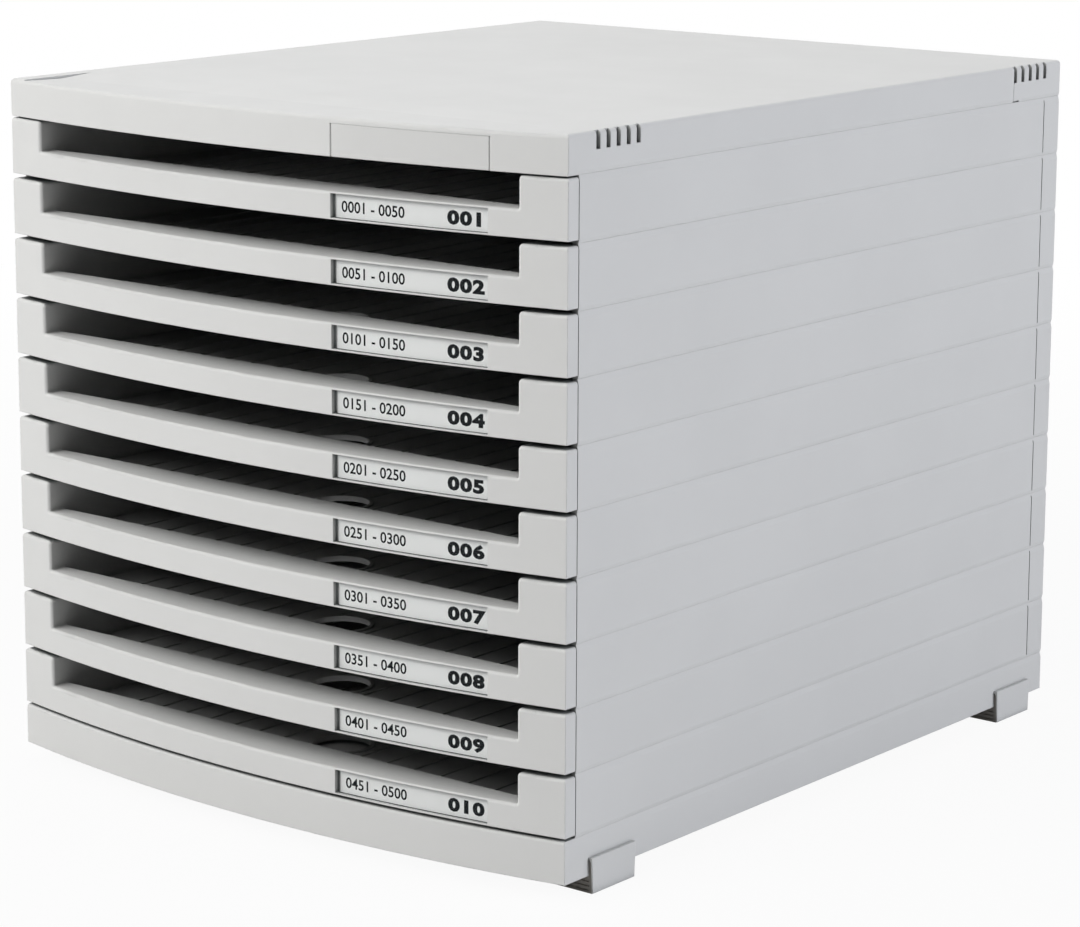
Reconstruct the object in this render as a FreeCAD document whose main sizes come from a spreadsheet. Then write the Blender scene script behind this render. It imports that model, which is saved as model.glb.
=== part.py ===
"""Desktop drawer organizer: ten open-front trays that slide in a stack of moulded tier frames.

The drawer fronts face -Y, +X is to the right seen from the front, and +Z is up.
The origin is the middle of the footprint, on the surface that the feet stand on.
Each piece is drawn with Y = 0 at the front corners of the housing and Z = 0 at its own
underside, and an expression moves it into place.
"""
import FreeCAD
import Part
import PartDesign
import Sketcher
import math
import os
import re

# ------------------------------------------------------------ driving sizes, in millimetres
SIZES = {
    # the whole organizer
    "width": 282,
    "depth": 336,
    "front_bulge": 14.2,
    "tier_count": 10,
    "tier_pitch": 24.3,
    "base_height": 16.3,
    "cover_height": 14.8,
    # housing mouldings
    "wall": 3,
    "plate": 2.2,
    "corner_round": 2,
    "edge_round": 1.2,
    "cover_round": 1.6,
    "seam_top_rise": 2.4,
    "seam_top_inset": 0.45,
    "seam_bottom_rise": 1.4,
    "seam_bottom_inset": 0.35,
    "front_gap": 0.4,
    "stiffener_web": 1.6,
    "stiffener_depth": 4,
    "stiffener_count": 4,
    # tongue on the top of each moulding, in a groove of the next one
    "tongue_height": 1.1,
    "tongue_thickness": 0.9,
    "tongue_inset": 1.1,
    "seat_gap": 0.1,
    # slit near the rear corner of each tier
    "slit_width": 0.5,
    "slit_depth": 0.8,
    "slit_inset": 13.5,
    "slit_margin": 1.2,
    # runner ledge that carries a drawer, and the short rail above it that holds it down
    "runner_width": 11,
    "runner_thickness": 1.2,
    "rail_thickness": 2,
    "run_gap": 0.1,
    "rail_gap": 0.4,
    "flange_gap": 1,
    # drawer
    "front_depth": 6,
    "front_height": 22.3,
    "bar_height": 10.3,
    "bar_rear": 4.5,
    "tab_width": 19.7,
    "notch_corner": 1.6,
    "notch_foot_corner": 0.5,
    "tray_wall": 2,
    "tray_floor": 1.6,
    "wall_drop": 1,
    "tray_back_gap": 1,
    "travel": 250,
    "stop_gap": 0.3,
    "lug_length": 8,
    "lug_height": 3.5,
    "floor_rib_width": 0.8,
    "floor_rib_height": 0.5,
    "floor_rib_pitch": 13.5,
    "floor_rib_count": 16,
    "floor_rib_margin": 8,
    "finger_hole_radius": 11.5,
    "finger_hole_inset": 32,
    "finger_hole_offset": 4,
    "rim_width": 1.5,
    "rim_height": 0.6,
    # label field on the drawer front, with a card behind a clear window
    "label_margin": 12,
    "label_length": 68.3,
    "label_base": 0.6,
    "label_height": 9,
    "recess_depth": 2.2,
    "card_thickness": 0.4,
    "window_thickness": 0.8,
    "card_start_gap": 1,
    "label_gap": 0.1,
    # cover
    "slot_width": 2.35,
    "slot_pitch": 5.87,
    "slot_count": 5,
    "slot_reach": 4.5,
    "slot_top_reach": 0.8,
    "slot_base": 8.1,
    "front_slot_start": 15.8,
    "rear_slot_inset": 38.5,
    "panel_length": 69.2,
    "panel_height": 12.2,
    "panel_depth": 0.4,
    "trough_depth": 1,
    "trough_valley": 18,
    "trough_end": 35.5,
    "trough_margin": 9,
    "latch_length": 4.6,
    "latch_line": 0.25,
    "latch_slot_height": 0.6,
    "latch_slot_depth": 1.6,
    # feet
    "foot_height": 6.8,
    "foot_length": 26.3,
    "front_foot_start": 13.9,
    "rear_foot_inset": 40,
    "clip_reach": 7,
    "clip_stand_off": 1.2,
    "clip_thickness": 0.6,
    "clip_lip": 0.5,
    "clip_lift": 0.2,
    "clip_corner": 0.6,
    "clip_taper": 0.6,
    "clip_tab_width": 15,
    "clip_tab_thickness": 1.2,
    "clip_tab_end": 4,
    "pad_width": 24,
    "pad_groove": 0.6,
    "pad_groove_pitch": 1.7,
    "pad_groove_count": 3,
    "peg_radius": 4,
    "peg_height": 5,
    "peg_gap": 0.1,
}

doc = FreeCAD.newDocument("drawer_organizer")
sheet = doc.addObject("Spreadsheet::Sheet", "Sizes")
for row, (alias, amount) in enumerate(SIZES.items(), start=1):
    sheet.set(f"A{row}", str(amount))
    sheet.setAlias(f"A{row}", alias)
doc.recompute()

# ------------------------------------------------------------ lengths that several pieces share
FRONT_RADIUS = "(width^2/4 + front_bulge^2)/(2*front_bulge)"
ARC_CENTRE = f"{FRONT_RADIUS} - front_bulge"
DRAWER_BASE = "runner_thickness + run_gap"
FLOOR_TOP = f"{DRAWER_BASE} + tray_floor"
NOTCH_HALF = "width/2 - tab_width"
LABEL_END = f"{NOTCH_HALF} - label_margin"
LABEL_START = f"{LABEL_END} - label_length"
INNER_HALF = "width/2 - wall"
FRAME_FRONT = "front_depth + front_gap"
TRAY_BACK = "depth - wall - tray_back_gap"
PEG_X = "width/2 - wall - pad_width/2"
CLIP_TAB_END = f"{PEG_X} - peg_radius - clip_tab_end"
CLIP_TOP = "foot_height + clip_reach"
LINING_TOP = f"{CLIP_TOP} - clip_lip - clip_stand_off"
REAR_SLOT_START = "depth - rear_slot_inset"
FOOT_ROWS = (("front", "front_foot_start"), ("rear", "depth - rear_foot_inset"))
PAST = "1"   # how far a cutting shape runs past the face that it opens


def formula(text):
    """Turn size names, as in 'width/2 - wall', into references to the sheet."""
    return re.sub(r"[a-z_]+", lambda word: f"Sizes.{word[0]}" if word[0] in SIZES else word[0], text)


def value(text):
    """The number that such a text stands for at present."""
    return float(sheet.evalExpression(formula(text)))


def bind(thing, name, text):
    thing.setExpression(name, formula(text))


# ------------------------------------------------------------ drawing helpers
def new_body(name):
    return doc.addObject("PartDesign::Body", name)


def new_sketch(body, name, role, offset):
    """Empty sketch on one of the body's own origin planes, moved along the plane's normal."""
    sketch = body.newObject("Sketcher::SketchObject", name)
    sketch.AttachmentSupport = (origin_item(body, role), [""])
    sketch.MapMode = "FlatFace"
    bind(sketch, "AttachmentOffset.Base.z", offset)
    return sketch


def dimension(sketch, kind, where, text):
    """Dimension from the origin, or a radius, bound to the sheet."""
    index = sketch.addConstraint(Sketcher.Constraint(kind, *where, value(text)))
    bind(sketch, f"Constraints[{index}]", text)


def join(sketch, first, first_end, second, second_end):
    sketch.addConstraint(Sketcher.Constraint("Coincident", first, first_end, second, second_end))


def front_arc(sketch, low_x, high_x, inset):
    """Arc concentric with the bulging front, that far inside it, between two X positions."""
    centre = value(ARC_CENTRE)
    radius = value(f"{FRONT_RADIUS} - ({inset})")
    angles = [-math.acos(value(x) / radius) for x in (low_x, high_x)]
    circle = Part.Circle(FreeCAD.Vector(0, centre, 0), FreeCAD.Vector(0, 0, 1), radius)
    arc = sketch.addGeometry(Part.ArcOfCircle(circle, *angles))
    sketch.addConstraint(Sketcher.Constraint("PointOnObject", arc, 3, -2))
    dimension(sketch, "DistanceY", (-1, 1, arc, 3), ARC_CENTRE)
    dimension(sketch, "Radius", (arc,), f"{FRONT_RADIUS} - ({inset})")
    return arc


def front_y(x, inset):
    """Y of the bulging front at that X."""
    radius = value(f"{FRONT_RADIUS} - ({inset})")
    return value(ARC_CENTRE) - math.sqrt(radius ** 2 - value(x) ** 2)


def add_line(sketch, start, end):
    return sketch.addGeometry(Part.LineSegment(FreeCAD.Vector(*start, 0), FreeCAD.Vector(*end, 0)))


def outline_sketch(body, name, inset, back, offset):
    """Plan outline of the housing, inside its walls by the inset, with the bulging front."""
    sketch = new_sketch(body, name, "XY_Plane", offset)
    half = f"width/2 - ({inset})"
    side, front, rear = value(half), front_y(half, inset), value(back)
    arc = front_arc(sketch, f"-({half})", half, inset)
    right = add_line(sketch, (side, front), (side, rear))
    across = add_line(sketch, (side, rear), (-side, rear))
    left = add_line(sketch, (-side, rear), (-side, front))
    join(sketch, arc, 2, right, 1)
    join(sketch, right, 2, across, 1)
    join(sketch, across, 2, left, 1)
    join(sketch, left, 2, arc, 1)
    sketch.addConstraint(Sketcher.Constraint("Vertical", right))
    sketch.addConstraint(Sketcher.Constraint("Horizontal", across))
    sketch.addConstraint(Sketcher.Constraint("Vertical", left))
    dimension(sketch, "DistanceX", (-1, 1, right, 1), half)
    dimension(sketch, "DistanceX", (left, 1, -1, 1), half)
    dimension(sketch, "DistanceY", (-1, 1, across, 1), back)
    return sketch


def band_sketch(body, name, low_x, high_x, outer, inner, offset):
    """Band between two arcs that follow the front, from one X to another."""
    sketch = new_sketch(body, name, "XY_Plane", offset)
    near = front_arc(sketch, low_x, high_x, outer)
    far = front_arc(sketch, low_x, high_x, inner)
    low, high = value(low_x), value(high_x)
    right = add_line(sketch, (high, front_y(high_x, outer)), (high, front_y(high_x, inner)))
    left = add_line(sketch, (low, front_y(low_x, inner)), (low, front_y(low_x, outer)))
    join(sketch, near, 2, right, 1)
    join(sketch, right, 2, far, 2)
    join(sketch, far, 1, left, 1)
    join(sketch, left, 2, near, 1)
    sketch.addConstraint(Sketcher.Constraint("Vertical", right))
    sketch.addConstraint(Sketcher.Constraint("Vertical", left))
    dimension(sketch, "DistanceX", (-1, 1, right, 1), high_x)
    dimension(sketch, "DistanceX", (-1, 1, left, 1), low_x)
    return sketch


def polygon_sketch(body, name, role, offset, corners):
    """Closed polygon whose corners are pairs of texts, each dimensioned from the origin."""
    sketch = new_sketch(body, name, role, offset)
    points = [(value(x), value(y)) for x, y in corners]
    lines = [add_line(sketch, point, points[(index + 1) % len(points)])
             for index, point in enumerate(points)]
    for index, line in enumerate(lines):
        join(sketch, line, 2, lines[(index + 1) % len(lines)], 1)
        dimension(sketch, "DistanceX", (-1, 1, line, 1), corners[index][0])
        dimension(sketch, "DistanceY", (-1, 1, line, 1), corners[index][1])
    return sketch


def extrude(body, name, sketch, length, cutting=False):
    feature = body.newObject("PartDesign::Pocket" if cutting else "PartDesign::Pad", name)
    feature.Profile = sketch
    feature.Reversed = cutting
    bind(feature, "Length", length)
    return feature


def box(body, name, x, y, z, cutting=False):
    """Box between two planes on each axis, added to the body or cut out of it."""
    feature = body.newObject(f"PartDesign::{'Subtractive' if cutting else 'Additive'}Box", name)
    for size, axis, (low, high) in zip(("Length", "Width", "Height"), "xyz", (x, y, z)):
        bind(feature, size, f"({high}) - ({low})")
        bind(feature, f"Placement.Base.{axis}", low)
    return feature


def cylinder(body, name, x, y, z, radius, cutting=False):
    """Upright cylinder on the point x, y between the two heights z."""
    feature = body.newObject(f"PartDesign::{'Subtractive' if cutting else 'Additive'}Cylinder", name)
    bind(feature, "Radius", radius)
    bind(feature, "Height", f"({z[1]}) - ({z[0]})")
    for axis, place in zip("xyz", (x, y, z[0])):
        bind(feature, f"Placement.Base.{axis}", place)
    return feature


def dress(body, kind, name, feature, size, wanted, inset=None):
    """Fillet or chamfer the edges of the feature for which wanted(edge box) holds.

    A chamfer with an inset goes that far in from a wall, and the size up or down the wall.
    """
    doc.recompute()
    edges = [f"Edge{index}" for index, edge in enumerate(feature.Shape.Edges, start=1)
             if wanted(edge.BoundBox)]
    dressed = body.newObject(f"PartDesign::{kind}", name)
    dressed.Base = (feature, edges)
    bind(dressed, "Radius" if kind == "Fillet" else "Size", size)
    if inset:
        dressed.ChamferType = "Two distances"
        bind(dressed, "Size2", inset)
    return dressed


def origin_item(body, role):
    return next(item for item in body.Origin.OriginFeatures if item.Role == role)


def linear_pattern(body, name, role, length, count):
    """Evenly spaced copies along one of the body's own axes, over that length."""
    copies = body.newObject("PartDesign::LinearPattern", name)
    copies.Direction = (origin_item(body, role), [""])
    bind(copies, "Length", length)
    bind(copies, "Occurrences", count)
    return copies


def repeat(body, name, features, steps, on_both_sides=False):
    """Copies of the features by each step in turn, and their mirror images if asked."""
    doc.recompute()
    stages = [linear_pattern(body, f"{name}_step_{index}", *step)
              for index, step in enumerate(steps, start=1)]
    if on_both_sides:
        stages.append(body.newObject("PartDesign::Mirrored", f"{name}_mirror"))
        stages[-1].MirrorPlane = (origin_item(body, "YZ_Plane"), [""])
    copies = body.newObject("PartDesign::MultiTransform", name)
    copies.Originals = features
    copies.Transformations = stages
    body.Tip = copies
    return copies


def close(first, second):
    return abs(first - second) < 0.01


def mirrored(low, high):
    """The same stretch of X on the right side and on the left side."""
    return (("right", (low, high)), ("left", (f"-({high})", f"-({low})")))


# ------------------------------------------------------------ tongues and grooves of the stack
def add_tongue(body, top):
    """Upstanding tongue along both sides and the back, that locates the next moulding."""
    height = (top, f"{top} + tongue_height")
    outer = "width/2 - tongue_inset"
    inner = f"{outer} - tongue_thickness"
    back = ("depth - tongue_inset - tongue_thickness", "depth - tongue_inset")
    front = f"{FRAME_FRONT} + corner_round"
    for side, span in mirrored(inner, outer):
        box(body, f"Tongue_{side}", span, (front, back[1]), height)
    box(body, "Tongue_back", (f"-({inner})", inner), back, height)


def cut_groove(body):
    """Groove in the underside that the tongue below goes into."""
    height = (f"-{PAST}", "tongue_height + seat_gap")
    outer = "width/2 - tongue_inset + seat_gap"
    inner = "width/2 - tongue_inset - tongue_thickness - seat_gap"
    back = ("depth - tongue_inset - tongue_thickness - seat_gap", "depth - tongue_inset + seat_gap")
    front = f"{FRAME_FRONT} + corner_round - seat_gap"
    for side, span in mirrored(inner, outer):
        box(body, f"Groove_{side}", span, (front, back[1]), height, cutting=True)
    box(body, "Groove_back", (f"-({inner})", inner), back, height, cutting=True)


# ------------------------------------------------------------ base moulding
def make_base():
    """Open-bottomed tray that carries the stack, with a block over each foot."""
    body = new_body("base_moulding")
    block = extrude(body, "Block", outline_sketch(body, "Outline", "0", "depth", "0"), "base_height")
    half, depth, top = value("width/2"), value("depth"), value("base_height")
    corners = dress(body, "Fillet", "Rear_corners", block, "corner_round",
                    lambda edge: close(edge.YMin, depth) and edge.ZLength > top / 2)
    seamed = dress(body, "Chamfer", "Top_seam", corners, "seam_top_rise",
                   lambda edge: close(edge.ZMin, top) and close(edge.ZMax, top)
                   and (edge.XMin > half - 3 or edge.XMax < 3 - half or edge.YMin > depth - 3),
                   inset="seam_top_inset")
    dress(body, "Fillet", "Top_edge", seamed, "edge_round",
          lambda edge: close(edge.ZMin, top) and edge.YMax < depth - 1 and edge.XLength > 1)
    hollow = outline_sketch(body, "Hollow_outline", "wall", "depth - wall", "0")
    extrude(body, "Hollow", hollow, "base_height - plate", cutting=True)
    under_plate = "base_height - plate"
    for name, start in FOOT_ROWS:
        for side, span in mirrored("width/2 - wall - pad_width", "width/2 - wall"):
            box(body, f"Foot_block_{name}_{side}", span, (start, f"{start} + foot_length"),
                ("0", under_plate))
            middle = f"{start} + foot_length/2"
            centre = PEG_X if side == "right" else f"-({PEG_X})"
            cylinder(body, f"Peg_hole_{name}_{side}", centre, middle,
                     (f"-{PAST}", "peg_height + seat_gap"), "peg_radius + peg_gap", cutting=True)
    add_stiffeners(body, under_plate)
    add_tongue(body, "base_height")
    return body


def add_stiffeners(body, under_plate):
    """Low webs across the underside of a plate, evenly spaced from front to back."""
    span = "(depth - wall)/(stiffener_count + 1)"
    web = box(body, "Stiffener", (f"-({INNER_HALF})", INNER_HALF),
              (f"{span} - stiffener_web/2", f"{span} + stiffener_web/2"),
              (f"{under_plate} - stiffener_depth", under_plate))
    repeat(body, "Stiffeners", [web], [("Y_Axis", f"{span}*(stiffener_count - 1)", "stiffener_count")])


# ------------------------------------------------------------ tier frame
def make_tier_frame():
    """U-shaped frame of one tier: two side walls with runners, and a back wall."""
    body = new_body("tier_frame_moulding")
    front, depth, top = value(FRAME_FRONT), value("depth"), value("tier_pitch")
    half = value("width/2")
    block = box(body, "Block", ("-width/2", "width/2"), (FRAME_FRONT, "depth"), ("0", "tier_pitch"))
    corners = dress(body, "Fillet", "Rear_corners", block, "corner_round",
                    lambda edge: close(edge.YMin, depth) and edge.ZLength > top / 2)
    lowered = dress(body, "Chamfer", "Bottom_seam", corners, "seam_bottom_rise",
                    lambda edge: close(edge.ZMax, 0) and edge.YMax > front + 1,
                    inset="seam_bottom_inset")
    dress(body, "Chamfer", "Top_seam", lowered, "seam_top_rise",
          lambda edge: close(edge.ZMin, top) and edge.YMax > front + 1, inset="seam_top_inset")
    box(body, "Inside", (f"-({INNER_HALF})", INNER_HALF), (f"{FRAME_FRONT} - {PAST}", "depth - wall"),
        (f"-{PAST}", f"tier_pitch + {PAST}"), cutting=True)
    rail_base = f"{FLOOR_TOP} + rail_gap"
    rail_end = f"{TRAY_BACK} - lug_length - travel - stop_gap"
    for side, span in mirrored(f"{INNER_HALF} - runner_width", INNER_HALF):
        box(body, f"Runner_{side}", span, (FRAME_FRONT, "depth - wall"), ("0", "runner_thickness"))
        box(body, f"Rail_{side}", span, (FRAME_FRONT, rail_end),
            (rail_base, f"{rail_base} + rail_thickness"))
    slit = ("depth - slit_inset - slit_width/2", "depth - slit_inset + slit_width/2")
    for side, span in mirrored("width/2 - slit_depth", f"width/2 + {PAST}"):
        box(body, f"Slit_{side}", span, slit, ("slit_margin", "tier_pitch - slit_margin"), cutting=True)
    cut_groove(body)
    add_tongue(body, "tier_pitch")
    return body


# ------------------------------------------------------------ cover
def make_cover():
    """Top shell with slots over the feet's places, a shallow trough and a blank front panel."""
    body = new_body("cover_moulding")
    block = extrude(body, "Block", outline_sketch(body, "Outline", "0", "depth", "0"), "cover_height")
    depth, top = value("depth"), value("cover_height")
    corners = dress(body, "Fillet", "Rear_corners", block, "corner_round",
                    lambda edge: close(edge.YMin, depth) and edge.ZLength > top / 2)
    rounded = dress(body, "Fillet", "Top_edge", corners, "cover_round",
                    lambda edge: close(edge.ZMin, top))
    dress(body, "Chamfer", "Bottom_seam", rounded, "seam_bottom_rise",
          lambda edge: close(edge.ZMax, 0) and edge.YMax > 1, inset="seam_bottom_inset")
    hollow = outline_sketch(body, "Hollow_outline", "wall", "depth - wall", "0")
    extrude(body, "Hollow", hollow, "cover_height - plate - trough_depth", cutting=True)
    add_stiffeners(body, "cover_height - plate - trough_depth")
    cut_groove(body)
    trough = polygon_sketch(body, "Trough_section", "YZ_Plane", "trough_margin - width/2", (
        ("-front_bulge", "cover_height"), ("trough_valley", "cover_height - trough_depth"),
        ("trough_end", "cover_height"), ("trough_end", f"cover_height + {PAST}"),
        ("-front_bulge", f"cover_height + {PAST}")))
    extrude(body, "Trough", trough, "width - 2*trough_margin", cutting=True)
    panel = band_sketch(body, "Panel_outline", LABEL_START, f"{LABEL_START} + panel_length",
                        f"-{PAST}", "panel_depth", "0")
    extrude(body, "Panel", panel, "panel_height", cutting=True)
    side_cut = f"width/2 + {PAST}"
    section = polygon_sketch(body, "Slot_section", "XZ_Plane", "-(front_slot_start + slot_width)", (
        ("width/2 - slot_reach", "slot_base"), (side_cut, "slot_base"),
        (side_cut, f"cover_height + {PAST}"), ("width/2 - slot_top_reach", f"cover_height + {PAST}")))
    slot = extrude(body, "Slot", section, "slot_width", cutting=True)
    repeat(body, "Slots", [slot], [("Y_Axis", "slot_pitch*(slot_count - 1)", "slot_count"),
                                   ("Y_Axis", f"{REAR_SLOT_START} - front_slot_start", "2")],
           on_both_sides=True)
    latch_line = box(body, "Latch_line", ("width/2 - latch_line", side_cut),
                     (REAR_SLOT_START, f"{REAR_SLOT_START} + latch_line"),
                     ("latch_slot_height", f"slot_base + {PAST}"), cutting=True)
    latch_slot = box(body, "Latch_slot", ("width/2 - latch_slot_depth", side_cut),
                     (REAR_SLOT_START, f"{REAR_SLOT_START} + latch_length"),
                     (f"-{PAST}", "latch_slot_height"), cutting=True)
    repeat(body, "Latches", [latch_line, latch_slot], [], on_both_sides=True)
    return body


# ------------------------------------------------------------ drawer, its label card and window
def make_drawer():
    """Tray with a bulging front whose notch shows and gives access to what lies inside."""
    body = new_body("drawer_moulding")
    half, notch, base = value("width/2"), value(NOTCH_HALF), value(DRAWER_BASE)
    top = value(f"{DRAWER_BASE} + front_height")
    bar_top = f"{DRAWER_BASE} + bar_height"
    over_top = f"{DRAWER_BASE} + front_height + {PAST}"
    outline = outline_sketch(body, "Front_outline", "0", "front_depth", DRAWER_BASE)
    extrude(body, "Front", outline, "front_height")
    notched = box(body, "Notch", (f"-({NOTCH_HALF})", NOTCH_HALF),
                  (f"-front_bulge - {PAST}", f"front_depth + {PAST}"), (bar_top, over_top), cutting=True)

    def notch_end(edge):
        return edge.YLength > 5 and edge.XLength < 1 and edge.ZLength < 1 and close(abs(edge.XMin), notch)

    cornered = dress(body, "Fillet", "Notch_top_corners", notched, "notch_corner",
                     lambda edge: notch_end(edge) and close(edge.ZMax, top))
    cornered = dress(body, "Fillet", "Notch_foot_corners", cornered, "notch_foot_corner",
                     lambda edge: notch_end(edge) and edge.ZMax < top - 1)

    def softened(edge):
        """The front face's edges, but for its corners and its bottom, and each side's top edge."""
        on_front = edge.YMax < 0.1 and edge.ZMax > base + 1
        at_corner = close(abs(edge.XMin), half) and edge.ZLength > 5
        on_side_top = (close(edge.ZMin, top) and close(edge.XMin, edge.XMax)
                       and close(abs(edge.XMin), half))
        return on_front and not at_corner or on_side_top

    dress(body, "Fillet", "Front_edge", cornered, "edge_round", softened)
    box(body, "Behind_bar", (f"-({NOTCH_HALF})", NOTCH_HALF), ("bar_rear", f"front_depth + {PAST}"),
        (f"{DRAWER_BASE} - {PAST}", over_top), cutting=True)
    add_tray(body)
    recess = band_sketch(body, "Label_recess_outline", LABEL_START, LABEL_END,
                         f"-{PAST}", "recess_depth", f"{DRAWER_BASE} + label_base")
    extrude(body, "Label_recess", recess, "label_height", cutting=True)
    return body


def add_tray(body):
    """Floor with its side flanges, walls, stop lugs, ribs and finger hole."""
    floor = (DRAWER_BASE, FLOOR_TOP)
    flange = f"{INNER_HALF} - flange_gap"
    wall_top = f"{DRAWER_BASE} + front_height - wall_drop"
    box(body, "Floor", (f"-({flange})", flange), ("bar_rear", TRAY_BACK), floor)
    for side, span in mirrored(NOTCH_HALF, f"{NOTCH_HALF} + tray_wall"):
        box(body, f"Wall_{side}", span, ("bar_rear", TRAY_BACK), (DRAWER_BASE, wall_top))
    box(body, "Wall_back", (f"-({NOTCH_HALF})", NOTCH_HALF), (f"{TRAY_BACK} - tray_wall", TRAY_BACK),
        (DRAWER_BASE, wall_top))
    for side, span in mirrored(NOTCH_HALF, flange):
        box(body, f"Stop_lug_{side}", span, (f"{TRAY_BACK} - lug_length", TRAY_BACK),
            (DRAWER_BASE, f"{FLOOR_TOP} + lug_height"))
    spread = "floor_rib_pitch*(floor_rib_count - 1)"
    rib = box(body, "Floor_rib", (f"-{spread}/2 - floor_rib_width/2", f"-{spread}/2 + floor_rib_width/2"),
              ("bar_rear + floor_rib_margin", f"{TRAY_BACK} - tray_wall - floor_rib_margin"),
              (DRAWER_BASE, f"{FLOOR_TOP} + floor_rib_height"))
    repeat(body, "Floor_ribs", [rib], [("X_Axis", spread, "floor_rib_count")])
    hole = ("finger_hole_offset", "finger_hole_inset")
    cylinder(body, "Finger_hole_rim", *hole, (DRAWER_BASE, f"{FLOOR_TOP} + rim_height"),
             "finger_hole_radius + rim_width")
    cylinder(body, "Finger_hole", *hole, (f"{DRAWER_BASE} - {PAST}", f"{FLOOR_TOP} + rim_height + {PAST}"),
             "finger_hole_radius", cutting=True)


def make_label_layer(name, outer, inner):
    """Strip that follows the front inside the label recess, between two depths."""
    body = new_body(name)
    outline = band_sketch(body, "Outline", f"{LABEL_START} + card_start_gap",
                          f"{LABEL_END} - label_gap", outer, inner,
                          f"{DRAWER_BASE} + label_base + label_gap")
    extrude(body, "Strip", outline, "label_height - 2*label_gap")
    return body


# ------------------------------------------------------------ feet
def make_foot_clip():
    """Right-hand clip: a plate whose lip rests on the base's side, with a tab under the foot block."""
    body = new_body("foot_clip_moulding")
    section = polygon_sketch(body, "Plate_section", "XZ_Plane", "-foot_length", (
        ("width/2 + clip_stand_off", "clip_lift"),
        ("width/2 + clip_stand_off + clip_thickness", "clip_lift"),
        ("width/2 + clip_stand_off + clip_thickness", CLIP_TOP), ("width/2", CLIP_TOP),
        ("width/2", f"{CLIP_TOP} - clip_lip"), ("width/2 + clip_stand_off", LINING_TOP)))
    plate = extrude(body, "Plate", section, "foot_length")
    low = value("clip_lift")
    dress(body, "Fillet", "Plate_corners", plate, "clip_corner",
          lambda edge: close(edge.ZMax, low) and edge.YLength < 0.01)
    taper_ends(body, "clip_lift", CLIP_TOP)
    box(body, "Tab", (CLIP_TAB_END, "width/2 + clip_stand_off"),
        ("(foot_length - clip_tab_width)/2", "(foot_length + clip_tab_width)/2"),
        ("foot_height - clip_tab_thickness", "foot_height"))
    cylinder(body, "Peg_hole", PEG_X, "foot_length/2", (f"foot_height - clip_tab_thickness - {PAST}",
             f"foot_height + {PAST}"), "peg_radius + peg_gap", cutting=True)
    return body


def taper_ends(body, low, high):
    """Cut both ends of the clip so that it narrows towards the floor."""
    for end, near, sign in (("front", "0", 1), ("rear", "foot_length", -1)):
        outside = f"{near} - {sign}*({PAST})"
        wedge = polygon_sketch(body, f"Taper_{end}", "YZ_Plane", "width/2 - wall - pad_width", (
            (outside, low), (f"{near} + {sign}*clip_taper", low), (near, high), (outside, high)))
        extrude(body, f"Tapered_{end}", wedge, "wall + pad_width + clip_stand_off + clip_thickness",
                cutting=True)


def make_foot_pad():
    """Right-hand rubber foot: a grooved block with a lining behind the clip and a peg in the base."""
    body = new_body("foot_pad_moulding")
    inner = "width/2 - wall - pad_width"
    length = ("clip_taper", "foot_length - clip_taper")
    box(body, "Block", (inner, "width/2"), length, ("0", "foot_height"))
    box(body, "Lining", ("width/2", "width/2 + clip_stand_off"), length, ("0", LINING_TOP))
    for level in range(int(value("pad_groove_count"))):
        low = f"pad_groove_pitch*({level} + 0.5)"
        for face, span in (("front", (f"-{PAST}", "clip_taper + pad_groove")),
                           ("rear", ("foot_length - clip_taper - pad_groove", f"foot_length + {PAST}"))):
            box(body, f"Groove_{face}_{level + 1}", (f"{inner} - {PAST}", "width/2"), span,
                (low, f"{low} + pad_groove"), cutting=True)
    box(body, "Tab_seat", (f"{CLIP_TAB_END} - seat_gap", f"width/2 + clip_stand_off + {PAST}"),
        ("(foot_length - clip_tab_width)/2 - seat_gap", "(foot_length + clip_tab_width)/2 + seat_gap"),
        ("foot_height - clip_tab_thickness", "foot_height"), cutting=True)
    cylinder(body, "Peg", PEG_X, "foot_length/2",
             ("foot_height - clip_tab_thickness - seat_gap", "foot_height + peg_height"), "peg_radius")
    return body


# ------------------------------------------------------------ the organizer
HOUSING_Y = "(front_bulge - depth)/2"
pieces = []


def place(label, moulding, y, z, on_left=False):
    """One piece of the organizer: its moulding, mirrored for the left side where that is asked."""
    piece = doc.addObject("Part::Mirroring" if on_left else "Part::Refine", label)
    piece.Label = label
    piece.Source = moulding
    if on_left:
        piece.Normal = FreeCAD.Vector(1, 0, 0)
    bind(piece, "Placement.Base.y", y)
    bind(piece, "Placement.Base.z", z)
    pieces.append(piece)


place("base", make_base(), HOUSING_Y, "foot_height")
place("cover", make_cover(), HOUSING_Y, "foot_height + base_height + tier_count*tier_pitch")
behind_card = "recess_depth - card_thickness"
tier_mouldings = {
    "tier_frame": make_tier_frame(),
    "drawer": make_drawer(),
    "label_card": make_label_layer("label_card_moulding", behind_card, "recess_depth"),
    "label_window": make_label_layer("label_window_moulding", f"{behind_card} - window_thickness",
                                     behind_card),
}
for tier in range(1, int(value("tier_count")) + 1):
    for kind, moulding in tier_mouldings.items():
        place(f"{kind}_{tier:02d}", moulding, HOUSING_Y,
              f"foot_height + base_height + (tier_count - {tier})*tier_pitch")
foot_mouldings = {"foot_clip": make_foot_clip(), "foot_pad": make_foot_pad()}
for row, start in FOOT_ROWS:
    for side in ("right", "left"):
        for kind, moulding in foot_mouldings.items():
            place(f"{kind}_{row}_{side}", moulding, f"{HOUSING_Y} + {start}", "0", side == "left")

doc.recompute()
failed = [item.Name for item in doc.Objects if {"Invalid", "Error"} & set(item.State)]
failed += [piece.Name for piece in pieces
           if piece.Shape.isNull() or not piece.Shape.isValid() or len(piece.Shape.Solids) != 1]
if failed:
    raise RuntimeError(f"these objects failed: {failed}")

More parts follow.
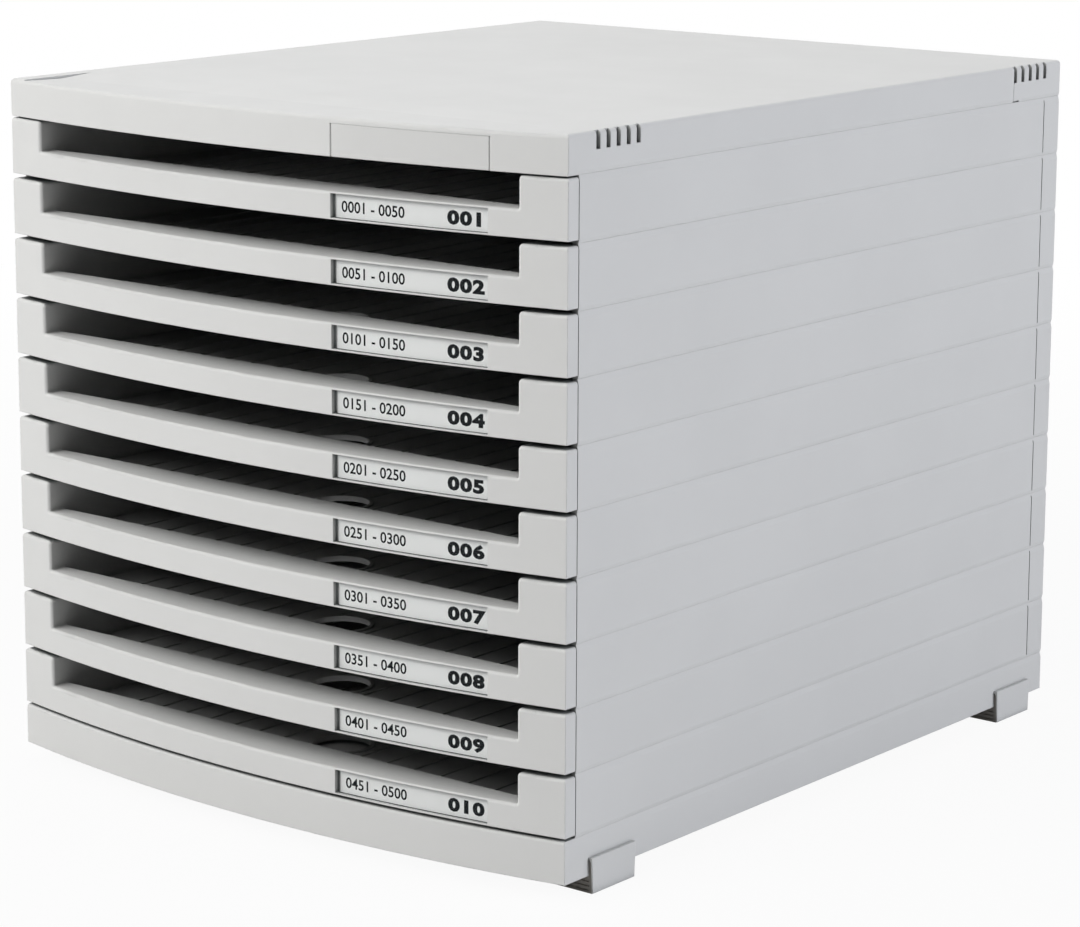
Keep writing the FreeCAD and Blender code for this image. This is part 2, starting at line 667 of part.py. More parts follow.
os.makedirs("parts", exist_ok=True)
for piece in pieces:
    piece.Shape.exportStep(f"parts/{piece.Label}.step")
print(f"{len(pieces)} pieces written")
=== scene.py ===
"""Dresses the desktop drawer organizer: moulded finishes, printed label cards and a studio.

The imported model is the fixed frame. Its mouldings, clips and pads keep their shapes and get
their finishes here. What is modelled here is the print on the cards, the plate on the cover, and
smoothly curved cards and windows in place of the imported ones. All lengths are in metres.
"""

import math

import bpy
from bpy.props import FloatProperty, FloatVectorProperty, IntProperty, PointerProperty
from mathutils import Matrix, Vector


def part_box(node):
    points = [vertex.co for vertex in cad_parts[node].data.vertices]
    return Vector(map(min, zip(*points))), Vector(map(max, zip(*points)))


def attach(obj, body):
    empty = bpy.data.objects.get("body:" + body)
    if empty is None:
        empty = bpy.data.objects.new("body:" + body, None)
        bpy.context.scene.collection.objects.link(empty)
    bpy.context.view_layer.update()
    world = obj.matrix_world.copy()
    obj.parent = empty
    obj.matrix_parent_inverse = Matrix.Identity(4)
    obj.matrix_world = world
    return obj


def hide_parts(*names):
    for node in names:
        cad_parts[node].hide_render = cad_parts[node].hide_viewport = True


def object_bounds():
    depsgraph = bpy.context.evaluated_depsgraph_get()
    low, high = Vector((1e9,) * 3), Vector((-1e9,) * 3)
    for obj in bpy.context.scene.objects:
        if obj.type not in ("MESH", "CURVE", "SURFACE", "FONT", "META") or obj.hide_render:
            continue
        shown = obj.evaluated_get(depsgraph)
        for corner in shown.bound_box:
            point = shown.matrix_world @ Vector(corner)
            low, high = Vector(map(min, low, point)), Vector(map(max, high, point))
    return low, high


bl_info = {
    "name": "Drawer organizer dressing",
    "version": (1, 0, 0),
    "blender": (4, 5, 0),
    "location": "3D View > Sidebar > Drawers",
    "description": "Finishes, label print and studio for a desktop drawer organizer",
    "category": "Object",
}

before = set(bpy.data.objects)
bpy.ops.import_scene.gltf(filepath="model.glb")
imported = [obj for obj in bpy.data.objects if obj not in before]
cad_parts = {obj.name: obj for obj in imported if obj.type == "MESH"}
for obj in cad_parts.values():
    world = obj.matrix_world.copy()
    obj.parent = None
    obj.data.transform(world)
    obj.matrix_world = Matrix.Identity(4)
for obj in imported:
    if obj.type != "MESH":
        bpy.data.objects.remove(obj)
CAD_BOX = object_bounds()
MM = 0.001
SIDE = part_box("base")[1].x              # half the housing's width
FRONT_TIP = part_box("drawer_01")[0].y    # the middle of the bulging front
TIERS = sorted(name[-2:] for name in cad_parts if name.startswith("drawer_"))
HOUSING = sorted(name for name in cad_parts
                 if name.startswith(("base", "cover", "tier_frame")))

# curved strips: how finely they are made, and the radius of their corners
STRIP_COLUMNS = 40
CORNER_STEPS = 6
SAME_COLUMN = 0.001 * MM                # points this close in X stand over each other
LABEL_CORNER = 0.3 * MM
PLATE_CORNER = 0.5 * MM

# print: a figure's height as a share of the type size, the steps along each curve of a figure,
# and for each kind of print its extra stroke weight, and its width and spacing as factors
CAP_HEIGHT = 0.73
FIGURE_STEPS = 3
INDEX_STYLE = (0.1 * MM, 1, 1)
NUMBER_STYLE = (0.36 * MM, 1.42, 1.13)

# studio: places and distances are measured from the middle of the footprint
FLOOR_REACH = 9
GLOW_NEAR = 0.4                         # the floor's glow grows from here
GLOW_FAR = 1.3                          # and is all that is seen from here on
LIGHT_WIDTH = 1.5
KEY_PLACE = (-0.64, -2.37, 1.86)
FILL_PLACE = (-2.25, -1.3, 1.64)
SIDE_PLACE = (2.72, 0.73, 1.17)
BACK_PLACE = (-1.14, 1.14, 2.05)
WARM_WHITE = (1, 0.998, 0.985)
COOL_WHITE = (0.91, 0.935, 1)
PLAIN_WHITE = (1, 1, 1)
CAMERA_PLACE = (0.8875, -1.1098, 0.4298)
CAMERA_TURN = 38.648                    # degrees to the left of straight in
CAMERA_DIP = 11.362                     # degrees below level
CAMERA_ROLL = 0.215                     # degrees
CAMERA_SHIFT = -0.06                    # share of the sensor's width
SENSOR_WIDTH = 36                       # millimetres


def display_colour(red, green, blue):
    """Linear colour of a tone that is written as it looks on screen, from 0 to 255."""
    return tuple(((tone / 255 + 0.055) / 1.055) ** 2.4 for tone in (red, green, blue))


# ------------------------------------------------------------ what a user would change
class OrganizerSizes(bpy.types.PropertyGroup):
    """Sizes of what is added to the mouldings, and of the detail in their surfaces."""
    front_bulge: FloatProperty(
        name="Front bulge", description="How far the front's middle stands out past its corners",
        default=14.2 * MM, unit="LENGTH")
    panel_start: FloatProperty(
        name="Plate start", description="Distance of the cover plate's left end from the middle",
        default=41 * MM, unit="LENGTH")
    panel_length: FloatProperty(
        name="Plate length", description="Length of the shallow field on the cover's front",
        default=69.2 * MM, unit="LENGTH")
    panel_height: FloatProperty(
        name="Plate height", description="Height of the shallow field on the cover's front",
        default=12.2 * MM, unit="LENGTH")
    panel_depth: FloatProperty(
        name="Plate depth", description="Depth of the shallow field on the cover's front",
        default=0.4 * MM, unit="LENGTH")
    panel_play: FloatProperty(
        name="Plate play", description="Gap between the plate and the rim of its field",
        default=0.04 * MM, unit="LENGTH")
    print_height: FloatProperty(
        name="Index height", description="Height of the index figures at the left of each card",
        default=4.25 * MM, unit="LENGTH")
    number_height: FloatProperty(
        name="Number height", description="Height of the bold drawer number on each card",
        default=4.8 * MM, unit="LENGTH")
    print_margin: FloatProperty(
        name="Print margin", description="Distance of the print from the ends of the card",
        default=2.6 * MM, unit="LENGTH")
    print_thickness: FloatProperty(
        name="Print thickness", description="How far the ink stands off the card",
        default=0.02 * MM, unit="LENGTH")
    window_gap: FloatProperty(
        name="Window gap", description="Air between a card and the clear window over it",
        default=0.06 * MM, unit="LENGTH")
    cards_per_tier: IntProperty(
        name="Index step", description="How many numbers each drawer's index range covers",
        default=50, min=1)
    edge_softness: FloatProperty(
        name="Edge softness", description="Radius that rounds the light on sharp moulded edges",
        default=0.5 * MM, unit="LENGTH")
    # painted shade: slots, gaps and inside corners are darkened in colour within this reach
    crevice_reach: FloatProperty(
        name="Crevice reach",
        description="Distance over which slots, gaps and inside corners look dimmed",
        default=5 * MM, unit="LENGTH")
    shade_reach: FloatProperty(
        name="Shade reach",
        description="Distance over which nearby walls count as closing a space in",
        default=60 * MM, unit="LENGTH")


class OrganizerColours(bpy.types.PropertyGroup):
    """Colours of the organizer's materials."""
    plastic: FloatVectorProperty(
        name="Plastic", description="Light grey of the mouldings", subtype="COLOR",
        default=display_colour(219, 219, 218), min=0, max=1)
    # edge tone: partly wear where hands rub, partly a painted highlight along every edge
    edge_wear_and_highlight: FloatVectorProperty(
        name="Rubbed edge", description="Tone of edges that hands have rubbed", subtype="COLOR",
        default=display_colour(232, 232, 231), min=0, max=1)
    # painted shade: the dark tone laid into slots, gaps and inside corners, and halved deep
    # inside the housing, and how much of the plastic it hides
    crevice_shade: FloatVectorProperty(
        name="Dust", description="Tone of the dust deep in slots, gaps and inside corners",
        subtype="COLOR", default=display_colour(70, 78, 78), min=0, max=1)
    crevice_shade_depth: FloatProperty(
        name="Dust depth",
        description="How much of the plastic the dust hides where it is deepest",
        default=0.85, min=0, max=1, subtype="FACTOR")
    shade_depth: FloatProperty(
        name="Shade depth",
        description="How much darker the plastic looks deep inside the housing",
        default=0.65, min=0, max=1, subtype="FACTOR")
    plate: FloatVectorProperty(
        name="Cover plate", description="Grey of the blank plate on the cover", subtype="COLOR",
        default=display_colour(216, 216, 215), min=0, max=1)
    card: FloatVectorProperty(
        name="Card", description="White of the label cards", subtype="COLOR",
        default=display_colour(250, 251, 250), min=0, max=1)
    window: FloatVectorProperty(
        name="Window", description="Faint tint of the clear label windows", subtype="COLOR",
        default=(0.1, 0.13, 0.14), min=0, max=1)
    ink: FloatVectorProperty(
        name="Ink", description="Black of the print on the cards", subtype="COLOR",
        default=display_colour(9, 9, 11), min=0, max=1)
    rubber: FloatVectorProperty(
        name="Rubber", description="Warm grey of the foot pads", subtype="COLOR",
        default=display_colour(150, 146, 140), min=0, max=1)
    floor: FloatVectorProperty(
        name="Floor", description="Tone of the studio floor", subtype="COLOR",
        default=display_colour(205, 205, 205), min=0, max=1)


class StudioSettings(bpy.types.PropertyGroup):
    """Light and camera of the studio."""
    key_power: FloatProperty(
        name="Key light", description="Power of the large light in front",
        default=49.5, min=0, unit="POWER")
    fill_power: FloatProperty(
        name="Fill light", description="Power of the light at the left",
        default=27.5, min=0, unit="POWER")
    side_power: FloatProperty(
        name="Side light", description="Power of the light at the right",
        default=47, min=0, unit="POWER")
    back_power: FloatProperty(
        name="Back light", description="Power of the high light at the left, behind",
        default=16.5, min=0, unit="POWER")
    room_light: FloatProperty(
        name="Room light", description="Strength of the even light all round",
        default=0.15, min=0)
    floor_glow: FloatProperty(
        name="Floor glow", description="Share of the floor that no shadow reaches",
        default=0.94, min=0, max=1, subtype="FACTOR")
    focal_length: FloatProperty(
        name="Focal length", description="Focal length of the camera, on 36 mm",
        default=116.3, min=1, unit="CAMERA")


# ------------------------------------------------------------ node helpers
def feed(tree, socket, source):
    """Links a node's input from another socket, or sets its value."""
    if isinstance(source, bpy.types.NodeSocket):
        tree.links.new(source, socket)
    else:
        socket.default_value = source


def add_node(tree, kind, inputs=(), **settings):
    """New node; each input is a socket to link from or a value to set."""
    node = tree.nodes.new(kind)
    for name, setting in settings.items():
        setattr(node, name, setting)
    for name, source in dict(inputs).items():
        feed(tree, node.inputs[name], source)
    return node


def new_material(name):
    """Material with a principled shader, and its node tree and shader."""
    material = bpy.data.materials.new(name)
    material.use_nodes = True
    tree = material.node_tree
    return material, tree, tree.nodes["Principled BSDF"]


def object_place(tree):
    """Place of a point in its piece's own coordinates."""
    return add_node(tree, "ShaderNodeTexCoord").outputs["Object"]


def noise(tree, place, scale, detail=3, roughness=0.55):
    """Noise from 0 to 1 at so many spots to the metre."""
    made = add_node(tree, "ShaderNodeTexNoise", {
        "Vector": place, "Scale": scale, "Detail": detail, "Roughness": roughness})
    return made.outputs["Fac"]


def remap(tree, source, low, high, to_low=0, to_high=1):
    """Smooth step of the source from one range to another."""
    made = add_node(tree, "ShaderNodeMapRange", {
        "Value": source, "From Min": low, "From Max": high, "To Min": to_low, "To Max": to_high},
        interpolation_type="SMOOTHSTEP")
    return made.outputs["Result"]


def math_node(tree, operation, first, second):
    """Result of an operation on two sockets or values."""
    return add_node(tree, "ShaderNodeMath", {0: first, 1: second},
                    operation=operation).outputs["Value"]


def blend_colours(tree, share, first, second):
    """Colour between two colours or sockets, by a share from 0 to 1."""
    made = add_node(tree, "ShaderNodeMix", data_type="RGBA")
    sockets = {item.identifier: item for item in made.inputs}
    feed(tree, sockets["Factor_Float"], share)
    for name, colour in (("A_Color", first), ("B_Color", second)):
        is_socket = isinstance(colour, bpy.types.NodeSocket)
        feed(tree, sockets[name], colour if is_socket else (*colour, 1))
    return next(item for item in made.outputs if item.identifier == "Result_Color")


def toned(colour, factor):
    """The colour made darker or lighter by a factor, at most white."""
    return tuple(min(1, tone * factor) for tone in colour)


def darkened(tree, colour, dark, depth, reach, samples, closed, open_from):
    """The colour, darkened with painted shade to that depth where walls within reach close it in.

    Of the directions in front of a spot, closed is the free share at which the dark colour has
    its full depth, and open_from the share at which it ends.
    """
    openness = add_node(tree, "ShaderNodeAmbientOcclusion", {"Distance": reach},
                        samples=samples).outputs["AO"]
    return blend_colours(tree, remap(tree, openness, closed, open_from, depth, 0), colour, dark)


def add_relief(tree, shader, height, strength, distance, over=None):
    """Fine relief that follows a height, over the normal given or else the mesh's own."""
    relief = add_node(tree, "ShaderNodeBump", {"Height": height, "Strength": strength,
                                              "Distance": distance})
    if over is not None:
        tree.links.new(over, relief.inputs["Normal"])
    tree.links.new(relief.outputs["Normal"], shader.inputs["Normal"])


# ------------------------------------------------------------ materials
def moulded_plastic(name, colour, colours, sizes, seed, shaded=False):
    """Satin styrene: spark-eroded grain, edges lightened by wear and a painted highlight, painted
    shade in crevices.

    The seed moves the noise, so that no two mouldings look alike. Shaded plastic also looks
    darker where other walls close it in.
    """
    material, tree, shader = new_material(name)
    place = add_node(tree, "ShaderNodeMapping",
                     {"Vector": object_place(tree),
                      "Location": (seed, seed * 0.7, seed * 1.3)}).outputs["Vector"]
    clouds = noise(tree, place, scale=14, detail=4)
    specks = noise(tree, place, scale=2600, detail=1)
    grain = noise(tree, place, scale=3800, detail=2, roughness=0.7)
    smears = noise(tree, place, scale=60, detail=5, roughness=0.65)

    rounded = add_node(tree, "ShaderNodeBevel", {"Radius": sizes.edge_softness},
                       samples=4).outputs["Normal"]
    flat = add_node(tree, "ShaderNodeNewGeometry").outputs["Normal"]
    agreement = add_node(tree, "ShaderNodeVectorMath", {0: rounded, 1: flat},
                         operation="DOT_PRODUCT").outputs["Value"]
    edge = remap(tree, agreement, 0.97, 0.80)
    # painted highlight and wear: edges made lighter in colour, in patches, along every edge
    rub_and_highlight = math_node(tree, "MULTIPLY", edge, remap(tree, smears, 0.35, 0.7, 0.25, 0.8))

    clouded = blend_colours(tree, remap(tree, clouds, 0.3, 0.7), toned(colour, 0.985),
                            toned(colour, 1.012))
    speckled = blend_colours(tree, remap(tree, specks, 0.62, 0.8, 0, 0.35), clouded,
                             toned(colour, 0.93))
    # edges lightened by wear and by a painted highlight
    rubbed_and_highlighted = blend_colours(tree, rub_and_highlight, speckled, colours.edge_wear_and_highlight)
    # painted shade in slots, gaps and inside corners, where nearby walls close the spot in
    finish = darkened(tree, rubbed_and_highlighted, colours.crevice_shade, colours.crevice_shade_depth, sizes.crevice_reach,
                      samples=3, closed=0.1, open_from=0.65)
    # painted shade deep inside the housing, darker where the walls close it in
    if shaded:
        finish = darkened(tree, finish, toned(colours.crevice_shade, 0.5), colours.shade_depth,
                          sizes.shade_reach, samples=5, closed=0.12, open_from=0.32)
    tree.links.new(finish, shader.inputs["Base Color"])

    satin = remap(tree, smears, 0.3, 0.7, 0.62, 0.72)
    polish = math_node(tree, "MULTIPLY", rub_and_highlight, 0.12)
    tree.links.new(math_node(tree, "SUBTRACT", satin, polish), shader.inputs["Roughness"])
    add_relief(tree, shader, grain, strength=0.22, distance=0.03 * MM, over=rounded)
    shader.inputs["Specular IOR Level"].default_value = 0.2
    return material


def paper(name, colour):
    """Smooth white card with a faint fibre."""
    material, tree, shader = new_material(name)
    fibres = noise(tree, object_place(tree), scale=1500, detail=5, roughness=0.7)
    tone = blend_colours(tree, remap(tree, fibres, 0.3, 0.7), toned(colour, 0.965), colour)
    tree.links.new(tone, shader.inputs["Base Color"])
    tree.links.new(remap(tree, fibres, 0.3, 0.7, 0.62, 0.78), shader.inputs["Roughness"])
    add_relief(tree, shader, fibres, strength=0.3, distance=0.02 * MM)
    return material


def printed_ink(name, colour):
    """Matt black print whose tone varies a little with the fibre of the card."""
    material, tree, shader = new_material(name)
    fibres = noise(tree, object_place(tree), scale=2200)
    tone = blend_colours(tree, remap(tree, fibres, 0.35, 0.75), colour, toned(colour, 1.8))
    tree.links.new(tone, shader.inputs["Base Color"])
    tree.links.new(remap(tree, fibres, 0.3, 0.7, 0.5, 0.7), shader.inputs["Roughness"])
    shader.inputs["Specular IOR Level"].default_value = 0.08
    return material


def clear_plastic(name, colour):
    """Clear window that hardly tints what is behind it, with faint smudges in its gloss."""
    material, tree, shader = new_material(name)
    smudges = noise(tree, object_place(tree), scale=220, detail=4)
    tree.links.new(remap(tree, smudges, 0.4, 0.75, 0.05, 0.16), shader.inputs["Roughness"])
    shader.inputs["Base Color"].default_value = (*colour, 1)
    shader.inputs["Alpha"].default_value = 0.05
    shader.inputs["IOR"].default_value = 1.49
    return material


def rubber(name, colour):
    """Matt grey rubber with a fine skin and paler scuffs."""
    material, tree, shader = new_material(name)
    place = object_place(tree)
    skin = noise(tree, place, scale=1800, detail=4, roughness=0.7)
    scuffs = noise(tree, place, scale=160, detail=6, roughness=0.7)
    tone = blend_colours(tree, remap(tree, scuffs, 0.45, 0.75, 0, 0.6), toned(colour, 0.85),
                         toned(colour, 1.5))
    tree.links.new(tone, shader.inputs["Base Color"])
    tree.links.new(remap(tree, scuffs, 0.3, 0.7, 0.68, 0.86), shader.inputs["Roughness"])
    add_relief(tree, shader, skin, strength=0.5, distance=0.05 * MM)
    return material


def studio_floor(name, colour, glow):
    """Pale floor that keeps the shadow, over an even glow that only the camera and mirrors see.

    The glow has its given share close to the organizer, and takes over the whole floor far out.
    """
    material, tree, shader = new_material(name)
    place = object_place(tree)
    mottle = noise(tree, place, scale=6, detail=4)
    tone = blend_colours(tree, mottle, toned(colour, 0.99), colour)
    tree.links.new(tone, shader.inputs["Base Color"])
    shader.inputs["Roughness"].default_value = 0.9
    shader.inputs["Specular IOR Level"].default_value = 0
    distance = add_node(tree, "ShaderNodeVectorMath", {0: place},
                        operation="LENGTH").outputs["Value"]
    share = remap(tree, distance, GLOW_NEAR, GLOW_FAR, glow, 1)
    emission = add_node(tree, "ShaderNodeEmission", {"Color": (1, 1, 1, 1)})
    mixed = add_node(tree, "ShaderNodeMixShader", {
        0: math_node(tree, "MULTIPLY", seen_directly(tree), share), 1: shader.outputs["BSDF"],
        2: emission.outputs["Emission"]})
    tree.links.new(mixed.outputs["Shader"], tree.nodes["Material Output"].inputs["Surface"])
    return material


def seen_directly(tree):
    """1 for what the camera, a mirror or a clear window sees, and 0 for light on the object."""
    path = add_node(tree, "ShaderNodeLightPath").outputs
    either = math_node(tree, "MAXIMUM", path["Is Camera Ray"], path["Is Glossy Ray"])
    return math_node(tree, "MAXIMUM", either, path["Is Transmission Ray"])


def finish_node(name, material):
    """Gives one of the frame's pieces its material."""
    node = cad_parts[name]
    node.data.materials.clear()
    node.data.materials.append(material)


# ------------------------------------------------------------ shapes that follow the front
def front_arc(bulge):
    """Radius of the bulging front, and the Y of the axis that it turns about."""
    radius = (SIDE ** 2 + bulge ** 2) / (2 * bulge)
    return radius, FRONT_TIP + radius


def front_point(x, z, inset, bulge):
    """Point that far inside the bulging front, at that X and height."""
    radius, centre = front_arc(bulge)
    return Vector((x, centre - math.sqrt((radius - inset) ** 2 - x ** 2), z))


def mesh_piece(name, points, faces, material, body):
    """New mesh piece that rides on a body."""
    mesh = bpy.data.meshes.new(name)
    mesh.from_pydata(points, [], faces)
    mesh.validate()
    mesh.materials.append(material)
    piece = bpy.data.objects.new(name, mesh)
    bpy.context.scene.collection.objects.link(piece)
    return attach(piece, body)


def curved_plate(name, x_span, z_span, insets, bulge, corner, material, body):
    """Plate with round corners that follows the front between two depths."""
    outline = rounded_rectangle(x_span, z_span, corner)
    points = [front_point(x, z, inset, bulge) for inset in insets for x, z in outline]
    count = len(outline)
    near = [tuple(reversed(face)) for face in strip_faces(outline)]
    far = [tuple(index + count for index in reversed(face)) for face in near]
    rim = [(index, (index + 1) % count, (index + 1) % count + count, index + count)
           for index in range(count)]
    return mesh_piece(name, points, near + far + rim, material, body)


def rounded_rectangle(x_span, z_span, corner):
    """Outline points, counter-clockwise from the lower left, in even columns on the long edges.

    The upper right and the lower left corner have one point less than the other two.
    """
    (x_low, x_high), (z_low, z_high) = x_span, z_span
    lower = [(x_low + corner + (x_high - x_low - 2 * corner) * step / STRIP_COLUMNS, z_low)
             for step in range(STRIP_COLUMNS + 1)]
    upper = [(x, z_high) for x, _ in reversed(lower)]
    angles = [math.pi / 2 * step / CORNER_STEPS for step in range(1, CORNER_STEPS + 1)]
    right = [(x_high - corner + corner * math.sin(angle),
              z_low + corner - corner * math.cos(angle)) for angle in angles]
    right += [(x, z_low + z_high - z) for x, z in reversed(right)]
    left = [(x_low + x_high - x, z_low + z_high - z) for x, z in right]
    return lower + right[:-1] + upper + left[:-1]


def strip_faces(outline):
    """Quads across the outline, joining each point of the lower run to the one above it.

    A quad beside a column of one point isn't a true one, and mesh_piece drops it.
    """
    order = sorted(range(len(outline)),
                   key=lambda index: (round(outline[index][0], 7), outline[index][1]))
    columns = []
    for index in order:
        if columns and abs(outline[columns[-1][-1]][0] - outline[index][0]) < SAME_COLUMN:
            columns[-1].append(index)
        else:
            columns.append([index])
    return [(left[0], right[0], right[-1], left[-1]) for left, right in zip(columns, columns[1:])]


def print_text(name, text, height, place, align, style, tier, inset, ink):
    """Figures printed on a label card, as a thin closed layer that follows its curve.

    The place is the X and Z of the print's lower corner, on the side that it is aligned to.
    """
    sizes = bpy.context.scene.organizer_sizes
    x, z = place
    weight, width, spacing = style
    curve = bpy.data.curves.new(name, "FONT")
    curve.body = text
    curve.size = height / CAP_HEIGHT
    curve.offset = weight
    curve.space_character = spacing
    curve.extrude = sizes.print_thickness / 2
    curve.resolution_u = FIGURE_STEPS
    curve.align_x = align
    source = bpy.data.objects.new(name + "_source", curve)
    bpy.context.scene.collection.objects.link(source)
    bpy.context.view_layer.update()
    evaluated = source.evaluated_get(bpy.context.evaluated_depsgraph_get())
    mesh = bpy.data.meshes.new_from_object(evaluated)
    bpy.data.objects.remove(source)
    for vertex in mesh.vertices:
        right, up, out = vertex.co
        vertex.co = front_point(x + right * width, z + up, inset - out, sizes.front_bulge)
    mesh.name = name
    mesh.materials.clear()
    mesh.materials.append(ink)
    piece = bpy.data.objects.new(name, mesh)
    bpy.context.scene.collection.objects.link(piece)
    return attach(piece, f"tray_{tier}")


# ------------------------------------------------------------ operators
class ORGANIZER_OT_housing(bpy.types.Operator):
    """Give the base, the tier frames and the cover their satin plastic"""
    bl_idname = "organizer.housing"
    bl_label = "Finish housing"

    def execute(self, context):
        sizes, colours = context.scene.organizer_sizes, context.scene.organizer_colours
        for number, name in enumerate(HOUSING):
            finish_node(name, moulded_plastic(f"plastic_{name}", colours.plastic, colours, sizes,
                                              seed=number * 0.37, shaded=name != "base"))
        return {"FINISHED"}


class ORGANIZER_OT_drawers(bpy.types.Operator):
    """Give each drawer its satin plastic"""
    bl_idname = "organizer.drawers"
    bl_label = "Finish drawers"

    def execute(self, context):
        sizes, colours = context.scene.organizer_sizes, context.scene.organizer_colours
        for tier in TIERS:
            finish_node(f"drawer_{tier}", moulded_plastic(
                f"plastic_drawer_{tier}", colours.plastic, colours, sizes,
                seed=5 + int(tier) * 0.53, shaded=True))
        return {"FINISHED"}


class ORGANIZER_OT_labels(bpy.types.Operator):
    """Lay a printed card and a clear window in the label field of each drawer"""
    bl_idname = "organizer.labels"
    bl_label = "Print labels"

    def execute(self, context):
        sizes, colours = context.scene.organizer_sizes, context.scene.organizer_colours
        card, ink = paper("card", colours.card), printed_ink("ink", colours.ink)
        window = clear_plastic("window", colours.window)
        for tier in TIERS:
            # the window's outer corner, then the card's outer and inner ones
            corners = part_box(f"label_window_{tier}")[0], *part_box(f"label_card_{tier}")
            front, face, back = (self.inset(corner, sizes.front_bulge) for corner in corners)
            self.add_strip("card", tier, (face, back), card, sizes.front_bulge)
            self.add_strip("window", tier, (front, face - sizes.window_gap), window,
                           sizes.front_bulge)
            self.print_card(sizes, tier, face, ink)
        return {"FINISHED"}

    def inset(self, corner, bulge):
        """How far inside the front the corner of a label piece's box lies."""
        radius, centre = front_arc(bulge)
        return radius - math.hypot(corner.x, centre - corner.y)

    def add_strip(self, kind, tier, insets, material, bulge):
        """Smoothly curved strip in place of the frame's faceted one."""
        low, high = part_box(f"label_{kind}_{tier}")
        strip = curved_plate(f"{kind}_{tier}", (low.x, high.x), (low.z, high.z), insets, bulge,
                             LABEL_CORNER, material, f"tray_{tier}")
        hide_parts(f"label_{kind}_{tier}")

    def print_card(self, sizes, tier, inset, ink):
        """Index range at the left of the card and the bold drawer number at its right."""
        low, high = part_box(f"label_card_{tier}")
        middle = (low.z + high.z) / 2
        last = int(tier) * sizes.cards_per_tier
        first = last - sizes.cards_per_tier + 1
        print_text(f"index_{tier}", f"{first:04d} - {last:04d}", sizes.print_height,
                   (low.x + sizes.print_margin, middle - sizes.print_height / 2), "LEFT",
                   INDEX_STYLE, tier, inset, ink)
        print_text(f"number_{tier}", f"{int(tier):03d}", sizes.number_height,
                   (high.x - sizes.print_margin, middle - sizes.number_height / 2), "RIGHT",
                   NUMBER_STYLE, tier, inset, ink)


class ORGANIZER_OT_cover_plate(bpy.types.Operator):
    """Lay a blank plate in the shallow field on the cover's front"""
    bl_idname = "organizer.cover_plate"
    bl_label = "Add cover plate"

    def execute(self, context):
        sizes, colours = context.scene.organizer_sizes, context.scene.organizer_colours
        material = moulded_plastic("plastic_plate", colours.plate, colours, sizes, seed=2.1)
        start, base, play = sizes.panel_start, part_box("cover")[0].z, sizes.panel_play
        face = sizes.panel_depth / 8    # the plate lies this far inside the cover's front
        plate = curved_plate(
            "cover_plate", (start + play, start + sizes.panel_length - play),
            (base + play, base + sizes.panel_height - play), (face, sizes.panel_depth),
            sizes.front_bulge, PLATE_CORNER, material, "housing")
        return {"FINISHED"}


class ORGANIZER_OT_feet(bpy.types.Operator):
    """Finish the foot clips and the rubber pads"""
    bl_idname = "organizer.feet"
    bl_label = "Finish feet"

    def execute(self, context):
        sizes, colours = context.scene.organizer_sizes, context.scene.organizer_colours
        clip = moulded_plastic("plastic_clips", colours.plastic, colours, sizes, seed=3.3)
        pad = rubber("rubber", colours.rubber)
        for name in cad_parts:
            if name.startswith("foot_clip"):
                finish_node(name, clip)
            elif name.startswith("foot_pad"):
                finish_node(name, pad)
        return {"FINISHED"}


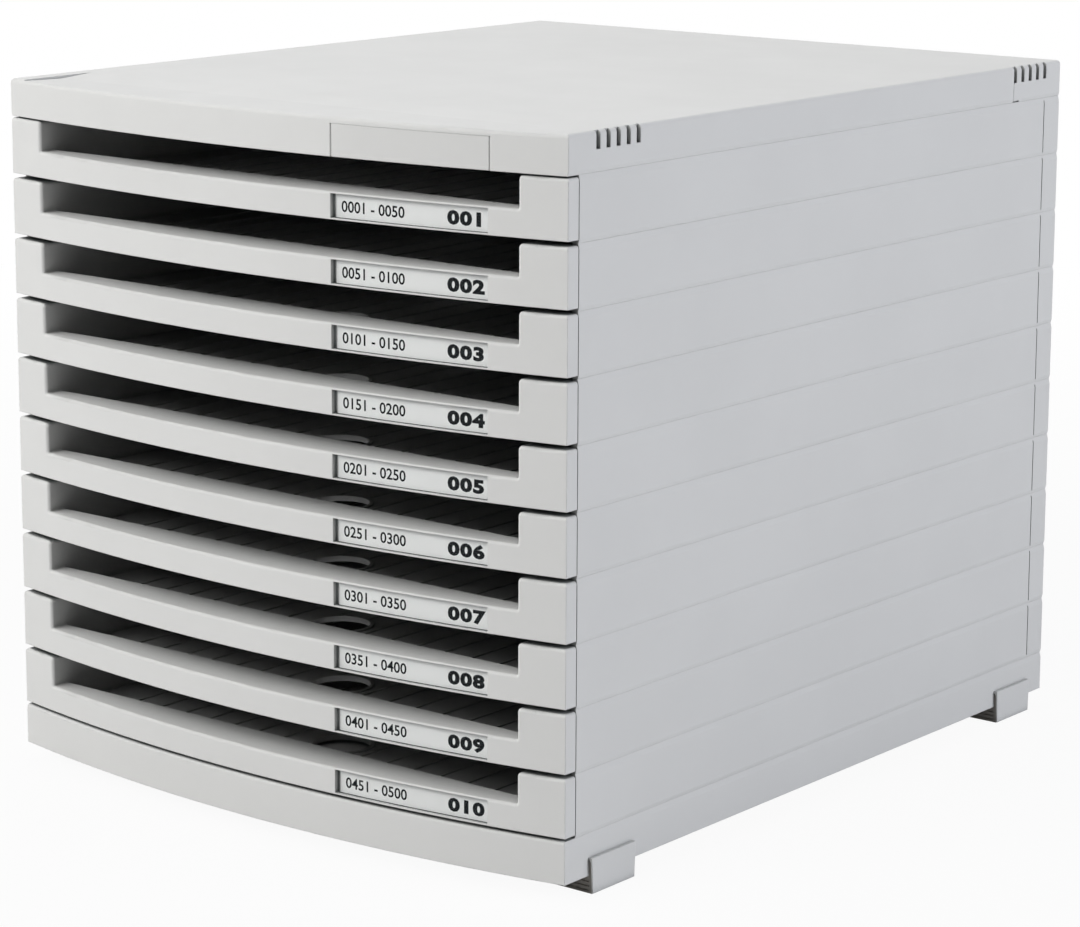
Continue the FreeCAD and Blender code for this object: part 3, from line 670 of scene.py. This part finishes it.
class ORGANIZER_OT_studio(bpy.types.Operator):
    """Set up the pale floor, the soft lights, the room light and the camera"""
    bl_idname = "organizer.studio"
    bl_label = "Set up studio"

    def execute(self, context):
        studio, colours = context.scene.organizer_studio, context.scene.organizer_colours
        self.add_floor(colours.floor, studio.floor_glow)
        self.add_light("key_light", KEY_PLACE, studio.key_power, WARM_WHITE)
        self.add_light("fill_light", FILL_PLACE, studio.fill_power, WARM_WHITE)
        self.add_light("side_light", SIDE_PLACE, studio.side_power, COOL_WHITE)
        self.add_light("back_light", BACK_PLACE, studio.back_power, PLAIN_WHITE)
        self.light_room(context.scene, studio.room_light)
        self.add_camera(context.scene, studio.focal_length)
        context.scene.view_settings.view_transform = "Standard"
        return {"FINISHED"}

    def add_floor(self, colour, glow):
        """Large plane under the feet."""
        corners = [(x * FLOOR_REACH, y * FLOOR_REACH, 0)
                   for x, y in ((-1, -1), (1, -1), (1, 1), (-1, 1))]
        mesh = bpy.data.meshes.new("studio_floor")
        mesh.from_pydata(corners, [], [(0, 1, 2, 3)])
        mesh.materials.append(studio_floor("studio_floor", colour, glow))
        floor = bpy.data.objects.new("studio_floor", mesh)
        bpy.context.scene.collection.objects.link(floor)

    def add_light(self, name, place, power, colour):
        """Square soft light that faces the middle of the organizer."""
        data = bpy.data.lights.new(name, "AREA")
        data.size = LIGHT_WIDTH
        data.energy = power
        data.color = colour
        light = bpy.data.objects.new(name, data)
        light.location = place
        middle = Vector((0, 0, CAD_BOX[1].z / 2))
        light.rotation_euler = (middle - light.location).to_track_quat("-Z", "Y").to_euler()
        bpy.context.scene.collection.objects.link(light)

    def light_room(self, scene, strength):
        """Even light from all round, that looks white where it is seen."""
        world = bpy.data.worlds.new("room")
        world.use_nodes = True
        tree = world.node_tree
        background = tree.nodes["Background"]
        background.inputs["Color"].default_value = (1, 1, 1, 1)
        brightness = add_node(tree, "ShaderNodeMapRange", {
            "Value": seen_directly(tree), "To Min": strength, "To Max": 1.0})
        tree.links.new(brightness.outputs["Result"], background.inputs["Strength"])
        scene.world = world

    def add_camera(self, scene, focal_length):
        """Camera off the right front corner and above it, turned to the organizer."""
        data = bpy.data.cameras.new("camera")
        data.lens = focal_length
        data.sensor_width = SENSOR_WIDTH
        data.shift_y = CAMERA_SHIFT
        camera = bpy.data.objects.new("camera", data)
        turn = Matrix.Rotation(math.radians(CAMERA_TURN), 4, "Z")
        tilt = Matrix.Rotation(math.radians(90 - CAMERA_DIP), 4, "X")
        roll = Matrix.Rotation(math.radians(CAMERA_ROLL), 4, "Z")
        camera.matrix_world = Matrix.Translation(CAMERA_PLACE) @ turn @ tilt @ roll
        scene.collection.objects.link(camera)
        scene.camera = camera


class ORGANIZER_PT_panel(bpy.types.Panel):
    """Lists the steps and the sizes in the sidebar"""
    bl_idname = "ORGANIZER_PT_panel"
    bl_label = "Drawer organizer"
    bl_space_type = "VIEW_3D"
    bl_region_type = "UI"
    bl_category = "Drawers"

    def draw(self, context):
        layout = self.layout
        for step in STEPS:
            layout.operator(step.bl_idname)
        for group in (context.scene.organizer_sizes, context.scene.organizer_colours,
                      context.scene.organizer_studio):
            box = layout.box()
            for name in group.__annotations__:
                box.prop(group, name)


STEPS = (ORGANIZER_OT_studio, ORGANIZER_OT_housing, ORGANIZER_OT_drawers, ORGANIZER_OT_labels,
         ORGANIZER_OT_cover_plate, ORGANIZER_OT_feet)
CLASSES = (OrganizerSizes, OrganizerColours, StudioSettings, *STEPS, ORGANIZER_PT_panel)


def register():
    for item in CLASSES:
        bpy.utils.register_class(item)
    bpy.types.Scene.organizer_sizes = PointerProperty(type=OrganizerSizes)
    bpy.types.Scene.organizer_colours = PointerProperty(type=OrganizerColours)
    bpy.types.Scene.organizer_studio = PointerProperty(type=StudioSettings)


def unregister():
    del bpy.types.Scene.organizer_studio
    del bpy.types.Scene.organizer_colours
    del bpy.types.Scene.organizer_sizes
    for item in reversed(CLASSES):
        bpy.utils.unregister_class(item)


def main():
    register()
    bpy.ops.organizer.studio()
    bpy.ops.organizer.housing()
    bpy.ops.organizer.drawers()
    bpy.ops.organizer.labels()
    bpy.ops.organizer.cover_plate()
    bpy.ops.organizer.feet()


if __name__ == "__main__":
    main()
